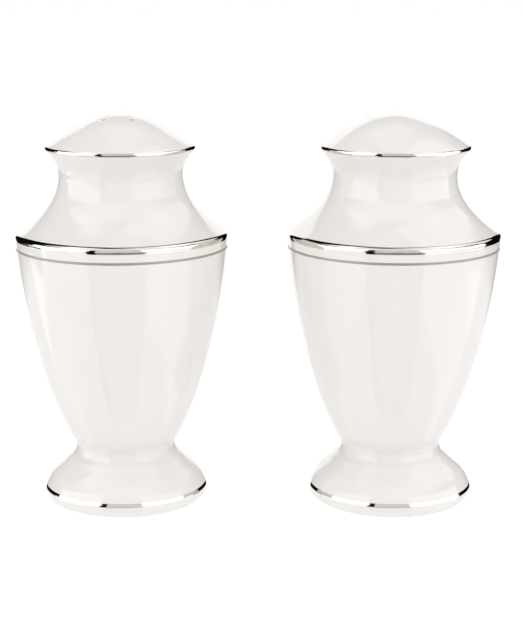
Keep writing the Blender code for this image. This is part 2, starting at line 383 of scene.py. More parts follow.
def hole_cutter_section(shape, china):
    """A trumpet that leaves a pour hole with a rounded, glazed lip. Its mouth lies on the dome."""
    reach = shape.wall + china.pour_radius
    lip_centre = Vector((china.pour_radius + china.lip_round, -china.lip_round))
    lip = arc(lip_centre, china.lip_round, pi - LIP_STOP, pi, FILLET_STEPS)[::-1]
    rim = lip[-1] + china.pour_radius * Vector((sin(LIP_STOP), cos(LIP_STOP)))
    top = Vector((rim.x, reach))
    bottom = Vector((china.pour_radius, -2 * reach))
    return [Vector((0, top.y)), top, rim] + lip[::-1] + [bottom, Vector((0, bottom.y))]


def stopper_section(shape):
    """Roof, ribbed skirt, flange and the hollow for the grip bar, from the top down."""
    floor_top = FLOOR_HEIGHT + FLOOR_THICKNESS
    top = floor_top + STOPPER_REACH
    rib = shape.fill_radius - FIT_GAP
    skirt = rib - RIB_DEPTH
    upper_rib = floor_top - RIB_DEPTH
    flange_top = FLOOR_HEIGHT - FIT_GAP
    flange_bottom = flange_top - FLANGE_THICKNESS
    lower_rib = flange_top + RIB_HEIGHT + RIB_DEPTH
    flange = shape.fill_radius + FLANGE_OVERLAP
    hollow = rib - STOPPER_WALL
    soft = SOFT_EDGE / 2
    return filleted(
        [
            (0, top, 0),
            (skirt, top, SOFT_EDGE),
            (skirt, upper_rib, soft),
            (rib, upper_rib - RIB_HEIGHT / 2, soft),
            (skirt, upper_rib - RIB_HEIGHT, soft),
            (skirt, lower_rib, soft),
            (rib, lower_rib - RIB_HEIGHT / 2, soft),
            (skirt, lower_rib - RIB_HEIGHT, soft),
            (skirt, flange_top, soft),
            (flange, flange_top, SOFT_EDGE),
            (flange, flange_bottom, SOFT_EDGE),
            (hollow, flange_bottom, SOFT_EDGE),
            (hollow, top - STOPPER_ROOF, SOFT_EDGE),
            (0, top - STOPPER_ROOF, 0),
        ]
    )


class Wire:
    """An output socket on which sums, products and the like are written as Python."""

    def __init__(self, sheet, socket):
        self.sheet = sheet
        self.socket = socket

    def out(self, name):
        return Wire(self.sheet, self.socket.node.outputs[name])

    def math(self, operation, *values):
        return self.sheet.node("ShaderNodeMath", {"operation": operation}, enumerate(values))

    def __add__(self, other):
        return self.math("ADD", self, other)

    def __radd__(self, other):
        return self.math("ADD", other, self)

    def __sub__(self, other):
        return self.math("SUBTRACT", self, other)

    def __rsub__(self, other):
        return self.math("SUBTRACT", other, self)

    def __mul__(self, other):
        return self.math("MULTIPLY", self, other)

    def __rmul__(self, other):
        return self.math("MULTIPLY", other, self)

    def __truediv__(self, other):
        return self.math("DIVIDE", self, other)

    def __mod__(self, other):
        return self.math("MODULO", self, other)

    def __pow__(self, other):
        return self.math("POWER", self, other)

    def __abs__(self):
        return self.math("ABSOLUTE", self)

    def __neg__(self):
        return self.math("MULTIPLY", self, -1)

    def floor(self):
        return self.math("FLOOR", self)

    def below(self, other):
        return self.math("LESS_THAN", self, other)

    def rise(self, low, high):
        """0 under low, 1 over high, with a smooth step between them."""
        settings = {"interpolation_type": "SMOOTHSTEP"}
        return self.sheet.node("ShaderNodeMapRange", settings, {0: self, 1: low, 2: high})

    def within(self, low, high, soft):
        """1 between two values, falling smoothly to 0 over a width of soft, centred on each."""
        upwards = self.rise(low - soft / 2, low + soft / 2)
        return upwards * (1 - self.rise(high - soft / 2, high + soft / 2))

    def near(self, value, spread):
        """1 at a value, falling smoothly to 0 at a distance of spread."""
        return 1 - abs(self - value).rise(0, spread)


def shown(sockets, name):
    return next(socket for socket in sockets if socket.enabled and socket.name == name)


class Sheet:
    """A node tree that is drawn by calls."""

    def __init__(self, tree):
        self.tree = tree

    def node(self, kind, settings=(), values=()):
        """Adds a node with these settings, then these values or wires in its sockets."""
        made = self.tree.nodes.new(kind)
        for name, setting in dict(settings).items():
            setattr(made, name, setting)
        for key, value in dict(values).items():
            socket = made.inputs[key] if isinstance(key, int) else shown(made.inputs, key)
            if isinstance(value, Wire):
                self.tree.links.new(value.socket, socket)
            else:
                socket.default_value = value
        outputs = [socket for socket in made.outputs if socket.enabled]
        return Wire(self, outputs[0]) if outputs else None

    def vector(self, x, y, z):
        return self.node("ShaderNodeCombineXYZ", {}, {"X": x, "Y": y, "Z": z})

    def split(self, vector):
        parts = self.node("ShaderNodeSeparateXYZ", {}, {"Vector": vector})
        return parts.out("X"), parts.out("Y"), parts.out("Z")

    def vectors(self, operation, *values):
        return self.node("ShaderNodeVectorMath", {"operation": operation}, enumerate(values))

    def noise(self, place, scale, detail=2.0, roughness=0.5):
        """Noise from 0 to 1 round 0.5, with a scale in turns per metre."""
        values = {"Vector": place, "Scale": scale, "Detail": detail, "Roughness": roughness}
        return self.node("ShaderNodeTexNoise", {}, values)

    def mix(self, share, first, second):
        """A colour that goes from the first to the second as the share goes from 0 to 1."""
        values = {"Factor": share, "A": first, "B": second}
        return self.node("ShaderNodeMix", {"data_type": "RGBA"}, values)


def shape_sheet(name, inputs):
    """A Geometry Nodes sheet with named inputs, and a dictionary of their wires."""
    tree = bpy.data.node_groups.new(name, "GeometryNodeTree")
    tree.interface.new_socket("Geometry", in_out="OUTPUT", socket_type="NodeSocketGeometry")
    tree.interface.new_socket("Geometry", in_out="INPUT", socket_type="NodeSocketGeometry")
    for label, kind in inputs.items():
        tree.interface.new_socket(label, in_out="INPUT", socket_type="NodeSocket" + kind)
    sheet = Sheet(tree)
    source = sheet.node("NodeGroupInput")
    return sheet, {label: source.out(label) for label in ["Geometry", *inputs]}


def finish_shape(sheet, geometry, centre, material):
    """Moves the geometry to its shaker's axis and ends the tree."""
    moved = sheet.node("GeometryNodeTransform", {}, {"Geometry": geometry, "Translation": centre})
    smooth = sheet.node("GeometryNodeSetShadeSmooth", {}, {"Geometry": moved})
    real = sheet.node("GeometryNodeRealizeInstances", {}, {"Geometry": smooth})
    dressed = sheet.node("GeometryNodeSetMaterial", {}, {"Geometry": real, "Material": material})
    sheet.node("NodeGroupOutput", {}, {"Geometry": dressed})


def lathe_grid(sheet, rows, turns):
    """A grid of rows by turns, with each point's row and its angle round the axis."""
    columns = turns + 1
    values = {"Vertices X": rows, "Vertices Y": columns}
    grid = sheet.node("GeometryNodeMeshGrid", {}, values)
    index = sheet.node("GeometryNodeInputIndex")
    return grid, (index / columns).floor(), index % columns / turns * FULL_TURN


def lathe(sheet, grid, spot, angle):
    """The grid with each point at its spot of the section, turned about the Z axis, and welded."""
    values = {"Vector": spot, "Angle": angle}
    place = sheet.node("ShaderNodeVectorRotate", {"rotation_type": "Z_AXIS"}, values)
    values = {"Geometry": grid, "Position": place}
    moved = sheet.node("GeometryNodeSetPosition", {}, values)
    return sheet.node("GeometryNodeMergeByDistance", {}, {"Geometry": moved, "Distance": WELD})


def turned(sheet, section, turns):
    """The solid that a section makes when it is turned about the Z axis."""
    rows = sheet.node("GeometryNodeAttributeDomainSize", {}, {"Geometry": section})
    grid, row, angle = lathe_grid(sheet, rows, turns)
    position = sheet.node("GeometryNodeInputPosition")
    values = {"Geometry": section, "Value": position, "Index": row}
    spot = sheet.node("GeometryNodeSampleIndex", {"data_type": "FLOAT_VECTOR"}, values)
    return lathe(sheet, grid, spot, angle)


def china_tree():
    """Turns the china from its section and cuts its pour holes square to the dome.

    One is on the axis, and the others are evenly round a ring, from +X.
    """
    inputs = {
        "Turns": "Int",
        "Ring Holes": "Int",
        "Ring Radius": "Float",
        "Height": "Float",
        "Cutter": "Object",
        "Centre": "Vector",
        "Material": "Material",
    }
    sheet, given = shape_sheet("Turned china", inputs)
    solid = turned(sheet, given["Geometry"], given["Turns"])

    index = sheet.node("GeometryNodeInputIndex")
    angle = index / given["Ring Holes"] * FULL_TURN
    reach = given["Ring Radius"] * index.below(given["Ring Holes"])
    over = sheet.vector(
        angle.math("COSINE", angle) * reach,
        angle.math("SINE", angle) * reach,
        given["Height"] * 2,
    )
    values = {
        "Target Geometry": solid,
        "Source Position": over,
        "Ray Direction": (0, 0, -1),
        "Ray Length": given["Height"] * 2,
    }
    dome = sheet.node("GeometryNodeRaycast", {}, values)
    values = {"Count": given["Ring Holes"] + 1, "Position": dome.out("Hit Position")}
    spots = sheet.node("GeometryNodePoints", {}, values)
    values = {"Vector": dome.out("Hit Normal")}
    aim = sheet.node("FunctionNodeAlignRotationToVector", {"axis": "Z"}, values)
    cutter = sheet.node("GeometryNodeObjectInfo", {}, {"Object": given["Cutter"]}).out("Geometry")
    values = {"Points": spots, "Instance": cutter, "Rotation": aim}
    cutters = sheet.node("GeometryNodeInstanceOnPoints", {}, values)
    cutters = sheet.node("GeometryNodeRealizeInstances", {}, {"Geometry": cutters})
    settings = {"operation": "DIFFERENCE", "solver": "EXACT"}
    pierced = sheet.node("GeometryNodeMeshBoolean", settings, {"Mesh 1": solid, "Mesh 2": cutters})
    finish_shape(sheet, pierced, given["Centre"], given["Material"])
    return sheet.tree


def cutter_tree():
    """Turns the cutter of a pour hole."""
    sheet, given = shape_sheet("Turned cutter", {"Turns": "Int"})
    solid = turned(sheet, given["Geometry"], given["Turns"])
    sheet.node("NodeGroupOutput", {}, {"Geometry": solid})
    return sheet.tree


def line_tree():
    """Lays a thin film of metal along a stretch of the outline, right round the china.

    The section goes down the film's face and back up inside the china. Both edges wander a
    little, as hand-laid lines do. The attribute "across" runs from 0 at the top edge to 1.
    """
    inputs = {
        "Turns": "Int",
        "Rows": "Int",
        "From": "Float",
        "To": "Float",
        "Film": "Float",
        "Root": "Float",
        "Wander": "Float",
        "Seed": "Float",
        "Centre": "Vector",
        "Material": "Material",
    }
    sheet, given = shape_sheet("Metal line", inputs)
    grid, row, angle = lathe_grid(sheet, given["Rows"] * 2 + 1, given["Turns"])
    share = row / given["Rows"]
    across = 1 - abs(1 - share)
    round_trip = sheet.vector(
        angle.math("COSINE", angle) * WANDER_TURNS,
        angle.math("SINE", angle) * WANDER_TURNS,
        given["Seed"],
    )
    top_wander = (sheet.noise(round_trip, 1) - 0.5) * given["Wander"]
    lower = sheet.vectors("ADD", round_trip, (0, 0, SEED_STEP))
    bottom_wander = (sheet.noise(lower, 1) - 0.5) * given["Wander"]
    top = given["From"] + top_wander
    bottom = given["To"] + bottom_wander
    length = top + (bottom - top) * across

    outline = sheet.node("GeometryNodeMeshToCurve", {}, {"Mesh": given["Geometry"]})
    values = {"Curves": outline, "Length": length}
    sample = sheet.node("GeometryNodeSampleCurve", {"mode": "LENGTH"}, values)
    along_x, _, along_z = sheet.split(sample.out("Tangent"))
    square = sheet.vector(-along_z, 0, along_x)
    swell = 1 - abs(2 * across - 1) ** EDGE_POWER
    outside = share.below(1)
    lift = outside * given["Film"] - (1 - outside) * given["Root"]
    lift = lift * swell - given["Film"] / 2
    offset = sheet.node("ShaderNodeVectorMath", {"operation": "SCALE"}, {0: square, "Scale": lift})
    spot = sheet.vectors("ADD", sample.out("Position"), offset)
    ring = lathe(sheet, grid, spot, angle)
    values = {"Geometry": ring, "Name": "across", "Value": across}
    ring = sheet.node("GeometryNodeStoreNamedAttribute", {"data_type": "FLOAT"}, values)
    finish_shape(sheet, ring, given["Centre"], given["Material"])
    return sheet.tree


def stopper_tree():
    """Turns the stopper and joins the rounded grip bar across its hollow."""
    inputs = {
        "Turns": "Int",
        "Grip Length": "Float",
        "Grip Width": "Float",
        "Grip Height": "Float",
        "Grip Middle": "Float",
        "Grip Round": "Float",
        "Centre": "Vector",
        "Material": "Material",
    }
    sheet, given = shape_sheet("Soft stopper", inputs)
    solid = turned(sheet, given["Geometry"], given["Turns"])
    values = {"Width": given["Grip Width"], "Height": given["Grip Height"]}
    outline = sheet.node("GeometryNodeCurvePrimitiveQuadrilateral", {}, values)
    values = {"Curve": outline, "Count": FILLET_STEPS, "Radius": given["Grip Round"]}
    outline = sheet.node("GeometryNodeFilletCurve", {"mode": "POLY"}, values)
    half = given["Grip Length"] / 2
    start = sheet.vector(-half, 0, given["Grip Middle"])
    end = sheet.vector(half, 0, given["Grip Middle"])
    line = sheet.node("GeometryNodeCurvePrimitiveLine", {}, {"Start": start, "End": end})
    values = {"Curve": line, "Profile Curve": outline, "Fill Caps": True}
    bar = sheet.node("GeometryNodeCurveToMesh", {}, values)
    settings = {"operation": "UNION", "solver": "EXACT"}
    whole = sheet.node("GeometryNodeMeshBoolean", settings, {1: solid})
    sheet.tree.links.new(bar.socket, whole.socket.node.inputs[1])
    finish_shape(sheet, whole, given["Centre"], given["Material"])
    return sheet.tree


def baked(name, section, tree, values):
    """An object whose plain mesh is what the tree makes of a section."""
    outline = bpy.data.meshes.new(name + "_section")
    steps = [(i, i + 1) for i in range(len(section) - 1)]
    outline.from_pydata([(p.x, 0, p.y) for p in section], steps, [])
    made = bpy.data.objects.new(name, outline)
    bpy.context.scene.collection.objects.link(made)
    shaping = made.modifiers.new("Shape", "NODES")
    shaping.node_group = tree
    for item in tree.interface.items_tree:
        if item.in_out == "INPUT" and item.name in values:
            shaping[item.identifier] = values[item.name]
    graph = bpy.context.evaluated_depsgraph_get()
    mesh = bpy.data.meshes.new_from_object(made.evaluated_get(graph))
    made.modifiers.remove(shaping)
    made.data = mesh
    mesh.name = name
    bpy.data.meshes.remove(outline)
    return made


def belongs(piece, body, slot, *nodes):
    """Ties a finished piece to its body and hides the plain nodes that it stands for. Its finish, the
    slot, is not used.
    """
    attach(piece, body)
    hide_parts(*nodes)


def remake(name):
    """Removes an earlier piece of this name."""
    old = bpy.data.objects.get(name)
    if old:
        bpy.data.objects.remove(old, do_unlink=True)


def centre_of(name):
    low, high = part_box(name + "_body")
    return Vector(((low.x + high.x) / 2, (low.y + high.y) / 2, 0))


def finish_sheet(name):
    """A new material, its sheet and its shader node."""
    material = bpy.data.materials.get(name) or bpy.data.materials.new(name)
    material.use_nodes = True
    material.node_tree.nodes.clear()
    sheet = Sheet(material.node_tree)
    shader = sheet.node("ShaderNodeBsdfPrincipled")
    sheet.node("ShaderNodeOutputMaterial", {}, {"Surface": shader})
    return material, sheet, shader.socket.node


def feed(sheet, shader, values):
    """Sets or links the shader's sockets."""
    for name, value in values.items():
        if isinstance(value, Wire):
            sheet.tree.links.new(value.socket, shader.inputs[name])
        else:
            shader.inputs[name].default_value = value


def bump(sheet, height):
    """A Normal from a relief whose height is in metres."""
    return sheet.node("ShaderNodeBump", {}, {"Strength": 1.0, "Distance": 1.0, "Height": height})


def glazed_china(shape, look):
    """Warm white china under a clear glaze, dry on the ring that it stands on."""
    material, sheet, shader = finish_sheet("glazed china")
    place = sheet.node("ShaderNodeTexCoord").out("Object")
    _, _, height = sheet.split(place)
    cap, _, _ = edge_heights(shape)

    drift = sheet.noise(place, DRIFT_SCALE, 2)
    cloud = sheet.noise(place, CLOUD_SCALE, 3)
    # Painted shade: the glaze turns darker in bands under the cap's edge and round the waist, recesses
    # where shade falls and where thick glaze also lies
    under_cap = height.near(cap - POOL_AND_SHADE_BELOW_CAP, POOL_AND_SHADE_SPREAD)
    pooled_and_shaded = under_cap + height.near(WAIST_HEIGHT, POOL_AND_SHADE_SPREAD)
    clouded = (drift - 0.5) * DRIFT_TONE + (cloud - 0.5) * CLOUD_TONE
    tone = pooled_and_shaded * POOL_AND_SHADE_TONE + clouded + GLAZE_TONE
    glaze = sheet.mix(tone.rise(0, 1), (*look.glaze_colour, 1), (*look.pooled_and_shaded_colour, 1))
    glaze_edge = height + (sheet.noise(place, DRY_EDGE_SCALE, 2) - 0.5) * DRY_EDGE_SWAY
    dry = 1 - glaze_edge.rise(*DRY_EDGE)
    grain = sheet.noise(place, BARE_GRAIN_SCALE, 2)
    dry_tone = sheet.mix(grain, (*look.dry_colour, 1), (*look.glaze_colour, 1))
    colour = sheet.mix(dry, glaze, dry_tone)

    ripple = (sheet.noise(place, RIPPLE_SCALE, 1) - 0.5) * look.ripple
    peel = (sheet.noise(place, PEEL_SCALE, 1) - 0.5) * look.ripple * PEEL_SHARE
    relief = ripple + peel + grain * dry * BARE_GRAIN_DEPTH
    roughness = look.gloss_roughness + (cloud - 0.5) * CLOUD_ROUGHNESS + dry * DRY_ROUGHNESS
    feed(
        sheet,
        shader,
        {
            "Base Color": colour,
            "Roughness": roughness,
            "Normal": bump(sheet, relief),
            "IOR": 1.5,
            "Subsurface Weight": 0.12,
            "Subsurface Radius": (1.0, 0.85, 0.7),
            "Subsurface Scale": 0.0012,
        },
    )
    return material


def fired_platinum(look, name, colour, gloss, metal):
    """Metal that was brushed on by wheel and fired, thinning at both edges."""
    material, sheet, shader = finish_sheet(name)
    place = sheet.node("ShaderNodeTexCoord").out("Object")
    x, y, z = sheet.split(place)
    brushed = sheet.vector(x * STROKES_ROUND, y * STROKES_ROUND, z * STROKES_DOWN)
    strokes = sheet.noise(brushed, 1, 3)
    film = sheet.noise(place, FILM_SCALE, 3)
    specks = sheet.noise(place, SPECK_SCALE, 2)
    across = sheet.node("ShaderNodeAttribute", {"attribute_name": "across"}).out("Fac")
    edge = abs(across * 2 - 1) + (specks - 0.5) * SPECK_SWAY
    thin = edge.rise(*THIN_EDGE)

    tone = (film - 0.5) * FILM_TONE + (strokes - 0.5) * STROKE_TONE + METAL_TONE
    dull = [RUBBED_SHADE * channel for channel in colour]
    surface = sheet.mix(tone.rise(0, 1), (*colour, 1), (*dull, 1))
    surface = sheet.mix(thin * THIN_SHADE, surface, (*look.thin_colour, 1))
    rubbed = film.rise(*RUBBED_FILM) * FILM_ROUGHNESS + strokes * STROKE_ROUGHNESS
    roughness = gloss + rubbed + thin * THIN_ROUGHNESS
    buckle = (sheet.noise(place, BUCKLE_SCALE, 1) - 0.5) * BUCKLE_DEPTH
    relief = (strokes - 0.5) * STROKE_DEPTH + buckle
    feed(
        sheet,
        shader,
        {
            "Base Color": surface,
            "Metallic": metal * (1 - thin * THIN_METAL_LOSS),
            "Roughness": roughness,
            "Normal": bump(sheet, relief),
        },
    )
    return material


def soft_rubber(look):
    """Milky, slightly cloudy stopper rubber with a fine moulded grain."""
    material, sheet, shader = finish_sheet("soft stopper")
    place = sheet.node("ShaderNodeTexCoord").out("Object")
    cloud = sheet.noise(place, RUBBER_CLOUD_SCALE, 3)
    grain = sheet.noise(place, RUBBER_GRAIN_SCALE, 2)
    _, _, height = sheet.split(place)
    handled = 1 - height.rise(FLOOR_HEIGHT - HANDLED_HEIGHT, FLOOR_HEIGHT)
    tone = (cloud - 0.5) * RUBBER_CLOUD_TONE + handled * HANDLED_TONE + RUBBER_TONE
    colour = sheet.mix(tone.rise(0, 1), (*look.rubber_colour, 1), (*look.rubber_shade, 1))
    roughness = RUBBER_ROUGHNESS + (cloud - 0.5) * RUBBER_CLOUD_ROUGHNESS - handled * HANDLED_SHINE
    relief = grain * RUBBER_GRAIN_DEPTH + cloud * RUBBER_CLOUD_DEPTH
    feed(
        sheet,
        shader,
        {
            "Base Color": colour,
            "Roughness": roughness,
            "Normal": bump(sheet, relief),
            "IOR": 1.43,
            "Subsurface Weight": 0.3,
            "Subsurface Radius": (1.0, 0.95, 0.85),
            "Subsurface Scale": 0.0015,
        },
    )
    return material


class ShakerShape(bpy.types.PropertyGroup):
    height: FloatProperty(
        name="Height", description="Table to the top of the dome", default=BODY_HIGH.z, unit="LENGTH"
    )
    shoulder_radius: FloatProperty(
        name="Shoulder radius",
        description="Widest radius of the body",
        default=(BODY_HIGH.y - BODY_LOW.y) / 2,
        unit="LENGTH",
    )
    cap_radius: FloatProperty(
        name="Cap radius", description="Radius of the cap's edge", default=0.0195, unit="LENGTH"
    )
    neck_radius: FloatProperty(
        name="Neck radius", description="Narrowest radius under the cap", default=0.0162, unit="LENGTH"
    )
    waist_radius: FloatProperty(
        name="Waist radius", description="Narrowest radius above the foot", default=0.0131, unit="LENGTH"
    )
    foot_radius: FloatProperty(
        name="Foot radius", description="Widest radius of the foot", default=0.0215, unit="LENGTH"
    )
    wall: FloatProperty(
        name="Wall", description="Thickness of the china", default=0.0028, unit="LENGTH"
    )
    fill_radius: FloatProperty(
        name="Filling hole radius", description="Radius of the bore that the stopper closes",
        default=0.008, unit="LENGTH",
    )
    turns: IntProperty(
        name="Turns", description="Steps round each turned piece", default=192, min=24, max=256
    )


class ChinaLook(bpy.types.PropertyGroup):
    pour_radius: FloatProperty(
        name="Pour hole radius", description="Radius of each pour hole", default=0.00065, unit="LENGTH"
    )
    lip_round: FloatProperty(
        name="Lip rounding", description="Rounding of the glaze at a pour hole", default=0.0007,
        unit="LENGTH",
    )
    salt_holes: IntProperty(
        name="Salt holes", description="Holes round the middle one for salt", default=6, min=1
    )
    pepper_holes: IntProperty(
        name="Pepper holes", description="Holes round the middle one for pepper", default=2, min=1
    )
    ring_radius: FloatProperty(
        name="Ring radius", description="Radius of the ring of pour holes", default=0.007,
        unit="LENGTH",
    )
    glaze_colour: FloatVectorProperty(
        name="Glaze", description="Colour of the china under its glaze", subtype="COLOR",
        default=(0.855, 0.831, 0.807), min=0, max=1,
    )
    # Darker glaze colour under the cap's edge and at the waist: thicker glaze, and painted shade in
    # these recesses
    pooled_and_shaded_colour: FloatVectorProperty(
        name="Pooled glaze", description="Colour where the glaze lies thick", subtype="COLOR",
        default=(0.832, 0.803, 0.772), min=0, max=1,
    )
    dry_colour: FloatVectorProperty(
        name="Dry ring", description="Colour of the bare china it stands on", subtype="COLOR",
        default=(0.72, 0.68, 0.63), min=0, max=1,
    )
    gloss_roughness: FloatProperty(
        name="Glaze roughness", description="Roughness of the glaze", default=0.07, min=0, max=1
    )
    ripple: FloatProperty(
        name="Ripple", description="Height of the slow ripples in the glaze", default=0.00001,
        unit="LENGTH",
    )


class LineLook(bpy.types.PropertyGroup):
    film: FloatProperty(
        name="Film", description="How far the metal stands off the glaze", default=0.00002,
        unit="LENGTH",
    )
    root: FloatProperty(
        name="Root", description="How deep the metal's ring reaches into the china", default=0.0001,
        unit="LENGTH",
    )
    wander: FloatProperty(
        name="Wander", description="How much a line's edges wander", default=0.0001, unit="LENGTH"
    )
    rows: IntProperty(name="Rows", description="Steps across a line", default=22, min=4)
    metal_colour: FloatVectorProperty(
        name="Metal", description="Colour of the bright platinum", subtype="COLOR",
        default=(0.76, 0.725, 0.68), min=0, max=1,
    )
    thin_colour: FloatVectorProperty(
        name="Edge", description="Colour of the thinnest metal over the glaze", subtype="COLOR",
        default=(0.62, 0.58, 0.54), min=0, max=1,
    )
    hairline_colour: FloatVectorProperty(
        name="Hairline", description="Colour of the single stroke under the shoulder", subtype="COLOR",
        default=(0.42, 0.375, 0.345), min=0, max=1,
    )
    metal_roughness: FloatProperty(
        name="Roughness", description="Roughness of the bright platinum", default=0.05, min=0, max=1
    )
    hairline_roughness: FloatProperty(
        name="Hairline roughness", description="Roughness of the hairline", default=0.38, min=0, max=1
    )
    hairline_metal: FloatProperty(
        name="Hairline metal", description="How metallic the hairline is", default=0.35, min=0, max=1
    )


class StopperLook(bpy.types.PropertyGroup):
    grip_round: FloatProperty(
        name="Grip rounding", description="Rounding of the grip bar's edges", default=0.0005,
        unit="LENGTH",
    )
    rubber_colour: FloatVectorProperty(
        name="Rubber", description="Colour of the stopper", subtype="COLOR",
        default=(0.8, 0.79, 0.76), min=0, max=1,
    )
    rubber_shade: FloatVectorProperty(
        name="Rubber shade", description="Colour where the rubber is handled or cloudy",
        subtype="COLOR", default=(0.72, 0.71, 0.67), min=0, max=1,
    )


class StudioLook(bpy.types.PropertyGroup):
    distance: FloatProperty(
        name="Camera distance", description="From the shakers' axes to the camera", default=0.42,
        unit="LENGTH",
    )
    eye_height: FloatProperty(
        name="Camera height", description="Camera above the table", default=0.144, unit="LENGTH"
    )
    aside: FloatProperty(
        name="Camera to the right", description="Camera's place beside the middle", default=0.00097,
        unit="LENGTH",
    )
    tilt: FloatProperty(
        name="Tilt", description="How far the camera looks down", default=radians(12.93),
        subtype="ANGLE",
    )
    lens: FloatProperty(name="Lens", description="Focal length in millimetres", default=92.7, min=1)
    floor_size: FloatProperty(
        name="Floor", description="Width of the pale floor", default=6.0, unit="LENGTH"
    )
    floor_colour: FloatVectorProperty(
        name="Floor colour", description="Colour of the pale floor", subtype="COLOR",
        default=(0.8, 0.8, 0.8), min=0, max=1,
    )
    floor_glow: FloatProperty(
        name="Floor glow", description="Light from below, through the floor", default=0.4, min=0
    )
    room_light: FloatProperty(
        name="Room light", description="Strength of the even light all round", default=0.985, min=0
    )


# A soft-edged card round the shakers, in degrees to the right of the camera and above the
# table's level. Its top and bottom edges lean by so many degrees up for each degree to the
# right of its middle. Each card covers the cards before it, and a glow of 0 is a black flag.
Card = namedtuple("Card", "left right low high soft glow lean", defaults=(0.0,))
CARDS = (
    Card(-181, 181, -100, -16, 5, 1.0),  # the table
    Card(-200, -150, -20, 34, 4, 1.3),  # backdrop, left half
    Card(157, 200, -20, 34, 4, 1.3),  # backdrop, right half
    Card(-210, -150, 55, 95, 10, 0.5),  # ceiling behind, left half
    Card(150, 210, 55, 95, 10, 0.5),  # ceiling behind, right half
    Card(45, 140, 45, 150, 8, 1.2, -0.84),  # ceiling on the right
    Card(-112, -33, -40, 30, 5, 1.3, 0.45),  # left light, dim below the table's edge
    Card(-112, -33, -12, 30, 5, 2.3, 0.45),  # left light
    Card(25, 109, -40, 30, 4, 1.6, -0.3),  # right light, dim below the table's edge
    Card(25, 109, -14, 30, 4, 2.1, -0.3),  # right light
    Card(-122, 122, 36, 76, 10, 1.14),  # upper walls
    Card(-104, -66, 49, 68, 8, 1.75),  # left lamp overhead
    Card(74, 116, 48, 68, 8, 1.75),  # right lamp overhead
    Card(-24, 26, -9, 31, 3, 0.85),  # wall behind the camera
    Card(-26, 30, -60, -9, 4, 0.35),  # edge of the table in front
    Card(28, 66, -16, -9, 4, 0.8),  # edge of the table on the right
    Card(62, 108, -18, -9, 4, 1.05),  # its dimmer end
    Card(-5, 5, -14, -7, 2, 0.0),  # camera
    Card(-34, -24, -55, 12, 2, 0.0),  # gap beside the left light
    Card(-126, -92, -16, -9, 3, 0.2, -0.23),  # edge of the table on the left
    Card(-150, -112, -9, 60, 3, 0.0),  # left flag
    Card(-114, -103, -4, 60, 3, 0.0),  # its upper corner
    Card(109, 157, -4, 22, 3, 0.0),  # right flag
)

# Where the even light is stronger or weaker: so many degrees up, fading out over a reach
Swell = namedtuple("Swell", "up reach gain")
SWELLS = (Swell(25, 40, 0.19), Swell(88, 35, -0.15))


def studio_world(look):
    """Even light all round for the china's body, and cards of light for what it mirrors."""
    scene = bpy.context.scene
    scene.world = bpy.data.worlds.get("studio") or bpy.data.worlds.new("studio")
    scene.world.use_nodes = True
    scene.world.node_tree.nodes.clear()
    sheet = Sheet(scene.world.node_tree)
    x, y, z = sheet.split(sheet.node("ShaderNodeTexCoord").out("Generated"))
    to_degrees = 180 / pi
    right = x.math("ARCTAN2", x, -y) * to_degrees
    up = z.math("ARCSINE", z) * to_degrees
    mirrored = 0.0
    for card in CARDS:
        inside = right.within(card.left, card.right, card.soft)
        from_middle = right - (card.left + card.right) / 2
        level = up - from_middle * card.lean if card.lean else up
        inside = inside * level.within(card.low, card.high, card.soft)
        mirrored = mirrored + inside * (card.glow - mirrored)
    path = sheet.node("ShaderNodeLightPath")
    even = look.room_light
    for swell in SWELLS:
        even = even + up.near(swell.up, swell.reach) * swell.gain
    strength = sheet.node(
        "ShaderNodeMix", {}, {"Factor": path.out("Is Glossy Ray"), "A": even, "B": mirrored}
    )
    strength = sheet.node(
        "ShaderNodeMix", {}, {"Factor": path.out("Is Camera Ray"), "A": strength, "B": 1.0}
    )
    shader = sheet.node("ShaderNodeBackground", {}, {"Color": (1, 1, 1, 1), "Strength": strength})
    sheet.node("ShaderNodeOutputWorld", {}, {"Surface": shader})


def pale_floor(look):
    """A pale table that only the camera sees, so that it sends no light up the china."""
    material, sheet, shader = finish_sheet("pale floor")
    place = sheet.node("ShaderNodeTexCoord").out("Object")
    fleck = sheet.noise(place, FLECK_SCALE, 3)
    feed(
        sheet,
        shader,
        {
            "Base Color": (*look.floor_colour, 1),
            "Roughness": FLOOR_ROUGHNESS + (fleck - 0.5) * FLECK_ROUGHNESS,
            "Emission Color": (1, 1, 1, 1),
            "Emission Strength": look.floor_glow,
        },
    )
    half = look.floor_size / 2
    corners = [(-half, -half, 0), (half, -half, 0), (half, half, 0), (-half, half, 0)]
    mesh = bpy.data.meshes.new("floor")
    mesh.from_pydata(corners, [], [(0, 1, 2, 3)])
    mesh.materials.append(material)
    floor = bpy.data.objects.new("floor", mesh)
    bpy.context.scene.collection.objects.link(floor)
    floor.visible_diffuse = False
    floor.visible_glossy = False
    floor.visible_shadow = False


def camera(look):
    scene = bpy.context.scene
    data = bpy.data.cameras.new("camera")
    data.lens = look.lens
    data.clip_start = NEAREST_VIEW
    made = bpy.data.objects.new("camera", data)
    made.location = (look.aside, -look.distance, look.eye_height)
    made.rotation_euler = (pi / 2 - look.tilt, 0, 0)
    scene.collection.objects.link(made)
    scene.camera = made


